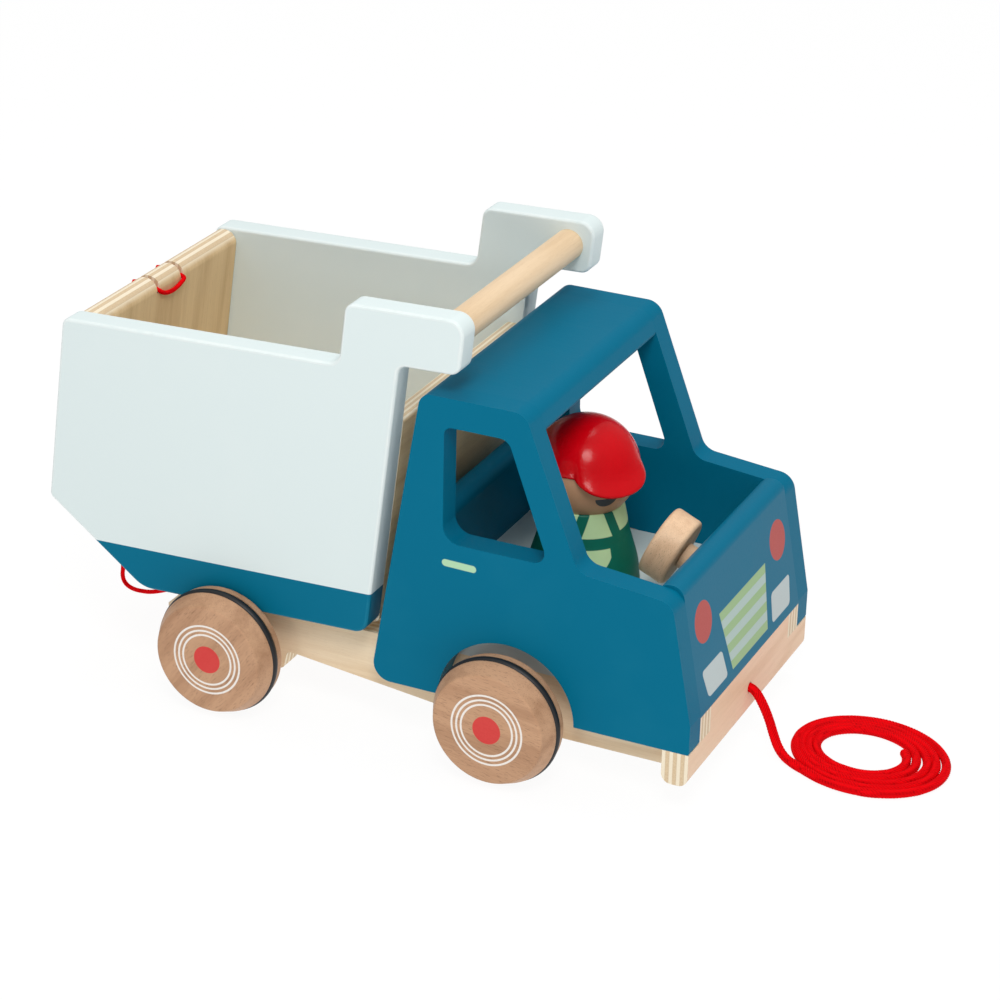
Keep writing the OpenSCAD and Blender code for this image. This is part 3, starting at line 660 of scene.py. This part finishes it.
def peg_head():
    """Brown paint, with a plain dark half-moon for the mouth under the visor."""
    p = Paper("skin_paint", 0.42, 0.3)
    moon_top, moon_half, moon_drop = 0.1106, 13.6, 0.0043
    drop = moon_top - p.z
    round_edge = ((round_driver(p) / moon_half) ** 2 + (drop / moon_drop) ** 2).below(1.0, 0.08)
    moon = round_edge * drop.above(0.0, 0.0002)
    cloud = p.noise(p.vector(p.x * 70, p.y * 70, p.z * 70), 3, 0.6)
    fine = p.noise(p.vector(p.x * 1200, p.y * 1200, p.z * 300), 3, 0.6)
    skin = p.mix(cloud, srgb(196, 152, 118), srgb(182, 138, 104))
    p.colour(p.mix(moon, skin, srgb(62, 66, 70)))
    p.bump(fine, 0.00005, 0.5)
    return p.material


def cap_gloss():
    """Thick red gloss with faint pits."""
    p = Paper("cap_gloss", 0.2, 0.12)
    cloud = p.noise(p.vector(p.x * 90, p.y * 90, p.z * 90), 3, 0.6)
    pits = p.noise(p.vector(p.x * 420, p.y * 420, p.z * 420), 2, 0.5)
    p.colour(p.mix(cloud, srgb(208, 0, 16), srgb(190, 0, 10)))
    p.set("Roughness", 0.16 + cloud * 0.12)
    p.shader.inputs["Coat Weight"].default_value = 0.12
    p.shader.inputs["Coat Roughness"].default_value = 0.12
    p.bump(pits * 0.7 + cloud * 0.3, 0.0003, 0.6)
    return p.material


def floor_paint():
    """Pale grey paint on the cab's floor."""
    p = Paper("cab_floor_paint", 0.5, 0.25)
    p.colour(paint_over(p, srgb(208, 219, 218), srgb(228, 236, 235)))
    return p.material


# ---- boards with eased edges ----
def tree_of(mesh):
    """A search tree over a mesh's faces."""
    return BVHTree.FromPolygons([v.co for v in mesh.vertices], [tuple(f.vertices) for f in mesh.polygons])


trees = {node: tree_of(o.data) for node, o in NODES.items()}


def touches(point, node, within=0.0007):
    """Does another board of the same body meet this one at that point?"""
    return any(
        trees[other].find_nearest(point, within)[0] is not None
        for other in NODES
        if other != node and BODY_OF[other] == BODY_OF[node]
    )


def eased(node, ease):
    """A copy of a CAD board whose free edges are rounded over, and whose seams stay tight."""
    name = f"{node}_eased"
    bm = bmesh.new()
    bm.from_mesh(NODES[node].data)
    bmesh.ops.remove_doubles(bm, verts=bm.verts, dist=2e-6)
    bmesh.ops.dissolve_limit(bm, angle_limit=math.radians(0.6), verts=bm.verts, edges=bm.edges)
    bmesh.ops.recalc_face_normals(bm, faces=bm.faces)
    sharp = [e for e in bm.edges if e.is_manifold and e.calc_face_angle(0) > math.radians(32)]
    free_edges = [e for e in sharp if not touches((e.verts[0].co + e.verts[1].co) / 2, node)]
    edge = bm.faces.layers.float.new("edge")
    if free_edges:
        made = bmesh.ops.bevel(
            bm, geom=free_edges, offset=ease, segments=3, profile=0.5, affect="EDGES", clamp_overlap=True
        )
        for f in made["faces"]:
            f[edge] = 1.0
    for f in bm.faces:
        f.smooth = True
    for e in bm.edges:
        e.smooth = not (e.is_manifold and e.calc_face_angle(0) > math.radians(30))
    mesh = bpy.data.meshes.new(name)
    bm.to_mesh(mesh)
    bm.free()
    if "custom_normal" in mesh.attributes:
        mesh.attributes.remove(mesh.attributes["custom_normal"])
    mesh.materials.clear()
    o = bpy.data.objects.new(name, mesh)
    scene.collection.objects.link(o)
    weigh = o.modifiers.new("weigh", "WEIGHTED_NORMAL")
    weigh.keep_sharp = True
    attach(o, BODY_OF[node])
    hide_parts(node)
    return o


def dress(o, material):
    """Gives a piece one material."""
    o.data.materials.clear()
    o.data.materials.append(material)
    for f in o.data.polygons:
        f.material_index = 0


def board(node, ease, material, slot):
    """Replaces a CAD board by its eased copy in a material."""
    dress(eased(node, ease), material)


def peaked_cap():
    """A thin dome over the head that swells softly into a visor, with a rolled lower edge."""
    head_low, head_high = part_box("driver_head")
    centre, inner = (head_low + head_high) / 2, (head_high.z - head_low.z) / 2
    outer, steps, rows, curl_rows = inner + 0.0011, 240, 64, 8
    half_width, brim_side, brim_drop = 48, 11, 15.5  # degrees
    visor_reach, visor_fall = 0.0056, math.radians(13.5)
    bm = bmesh.new()
    rings = []
    for j in range(rows + curl_rows + 1):
        ring = []
        for i in range(steps):
            turn = 2 * math.pi * i / steps
            off = math.degrees((turn - VISOR_FACING + math.pi) % (2 * math.pi) - math.pi)
            share = max(0.0, 1 - abs(off / half_width) ** 2.4) ** 0.8
            brim = math.radians(brim_side - brim_drop * share)
            reach = visor_reach * share
            if j <= rows:
                lift = brim + (math.pi / 2 - brim) * ((rows - j) / rows) ** 1.25
                fall = (lift - brim) / visor_fall
                radius = outer + reach * math.exp(-(fall ** 1.25) * 1.5)
            else:
                curl = (j - rows) / curl_rows * math.pi / 2
                lift = brim - math.radians(2.6 + 2.2 * share) * math.sin(curl * 0.9)
                radius = outer + reach - (reach + 0.0016) * (1 - math.cos(curl)) ** 1.2
            out = Vector((math.cos(turn) * math.cos(lift), math.sin(turn) * math.cos(lift), math.sin(lift)))
            ring.append(bm.verts.new(centre + out * radius))
        rings.append(ring)
    for a, b in zip(rings, rings[1:]):
        for i in range(steps):
            k = (i + 1) % steps
            bm.faces.new((a[i], a[k], b[k], b[i]))
    bmesh.ops.remove_doubles(bm, verts=bm.verts, dist=1e-5)
    bmesh.ops.recalc_face_normals(bm, faces=bm.faces)
    for f in bm.faces:
        f.smooth = True
    mesh = bpy.data.meshes.new("peaked_cap")
    bm.to_mesh(mesh)
    bm.free()
    o = bpy.data.objects.new("peaked_cap", mesh)
    scene.collection.objects.link(o)
    return o


# ---- every piece in its shape and material ----
teal = teal_paint()
side_paint, panel_paint, bed_paint = cab_side_paint(), front_panel_paint(), bed_side_paint()
for side in ("left", "right"):
    board(f"{side}_cab_side", 0.0011, side_paint, "blue_paint")
    board(f"{side}_bed_side", 0.0014, bed_paint, "pale_paint")
for node in ("roof", "cab_back_wall"):
    board(node, 0.0006, teal, "blue_paint")
board("front_panel", 0.0004, panel_paint, "blue_paint")
board("cab_floor", 0.0004, floor_paint(), "floor_paint")

ply_left = plywood("rail_ply_left", Y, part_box("left_rail")[0].y, X, Z, shift=1.3)
ply_right = plywood("rail_ply_right", Y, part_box("right_rail")[0].y, X, Z, shift=4.1)
board("left_rail", 0.0007, ply_left, "plywood")
board("right_rail", 0.0007, ply_right, "plywood")
bumper_light, bumper_dark = srgb(240, 208, 178), srgb(222, 184, 148)
bumper_ply = plywood(
    "bumper_ply", X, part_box("front_bumper_board")[0].x, Y, Z, bumper_light, bumper_dark, shift=2.2
)
board("front_bumper_board", 0.0007, bumper_ply, "plywood")
for node in ("rear_cross_board", "bed_rest_board"):
    board(node, 0.0006, plywood(f"{node}_ply", X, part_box(node)[0].x, Y, Z, shift=5.0), "plywood")

bed_up = Vector((-math.sin(rest_angle), 0, math.cos(rest_angle)))
bed_ahead = Vector((math.cos(rest_angle), 0, math.sin(rest_angle)))


def lowest_along(node, direction):
    """How far along a direction a CAD piece starts."""
    return min(v.co.dot(direction) for v in NODES[node].data.vertices)


def leaning(angle):
    """The normal of a board that leans forward by angle, in degrees, and the direction up along it."""
    a = math.radians(angle)
    return Vector((math.cos(a), 0, -math.sin(a))), Vector((math.sin(a), 0, math.cos(a)))


def bed_board(node, ease, name, normal, grain, across, **look):
    """Dresses one of the bed's leaning boards in plywood."""
    board(node, ease, plywood(name, normal, lowest_along(node, normal), grain, across, **look), "plywood")


wall_normal, wall_up = leaning(math.degrees(lean_of(WALL_FOOT, WALL_TOP)) - BED_LEAN)
gate_normal, gate_up = leaning(math.degrees(gate_lean) - BED_LEAN)
ramp_along = bed_turn.to_3x3() @ Vector((RAMP_COURSE[0], 0, RAMP_COURSE[1])).normalized()
ramp_normal = ramp_along.cross(Y)
honey = {"light": srgb(230, 202, 158), "dark": srgb(198, 164, 118)}
bed_board("bed_floor", 0.0005, "floor_ply", bed_up, bed_ahead, Y)
bed_board("bed_tail_ramp", 0.0005, "ramp_ply", ramp_normal, Y, ramp_along, shift=3.0)
bed_board("bed_front_wall", 0.0007, "wall_ply", wall_normal, Y, wall_up, shift=6.0, thickness=0.009, **honey)
bed_board("tailgate", 0.0009, "gate_ply", gate_normal, gate_up, Y, shift=8.4, **honey)

beech_light, beech_dark = srgb(236, 200, 164), srgb(200, 156, 118)
for side, spin in (("left", 0.7), ("right", -0.35)):
    for end in ("front", "rear"):
        node = f"{end}_{side}_wheel"
        low_corner, high_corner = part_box(node)
        turn = spin + (1.25 if end == "rear" else 0.2)
        dress(NODES[node], wheel_wood(f"{node}_wood", (low_corner + high_corner) / 2, turn))
        dress(NODES[f"{end}_{side}_tyre"], rubber())
peg_along, rim_along = (0.9135, 0, -0.4067), (0.4067, 0, 0.9135)
column_wood = bare_wood("column_beech", beech_light, beech_dark, peg_along, Y, 0.4)
steering_wood = bare_wood("steering_beech", beech_light, beech_dark, rim_along, Y, 0.5, 2.0)
dress(NODES["steering_column"], column_wood)
dress(NODES["steering_wheel"], steering_wood)
spacer_wood = bare_wood("spacer_beech", beech_light, beech_dark, Y, X, 0.4)
for node in ("front_axle_spacers", "rear_axle_spacers", "bed_hinge_blocks"):
    dress(NODES[node], spacer_wood)
dowel_wood = bare_wood("dowel_wood", srgb(232, 206, 172), srgb(208, 176, 134), Y, Z, 0.1, 3.0)
dress(NODES["handle_dowel"], dowel_wood)
metal = steel()
for node in ("bed_pivot_rod", "front_axle", "rear_axle", "tailgate_pins"):
    dress(NODES[node], metal)
dress(NODES["driver_body"], peg_body())
dress(NODES["driver_head"], peg_head())
gloss = cap_gloss()
cap = peaked_cap()
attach(cap, "driver")
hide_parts("driver_cap", "cap_visor")
dress(cap, gloss)
braid = cord_fabric()
for o in [pull, knot, gate_cord] + tails:
    dress(o, braid)

# ---- floor ----
bm = bmesh.new()
bmesh.ops.create_grid(bm, x_segments=1, y_segments=1, size=6)
floor_mesh = bpy.data.meshes.new("studio_floor")
bm.to_mesh(floor_mesh)
bm.free()
floor = bpy.data.objects.new("studio_floor", floor_mesh)
scene.collection.objects.link(floor)
paper = Paper("studio_white", 0.9, 0.0)
paper.set("Base Color", (0.08, 0.08, 0.08, 1))
paper.set("Emission Color", (1, 1, 1, 1))
paper.set("Emission Strength", 0.93)
floor.data.materials.append(paper.material)
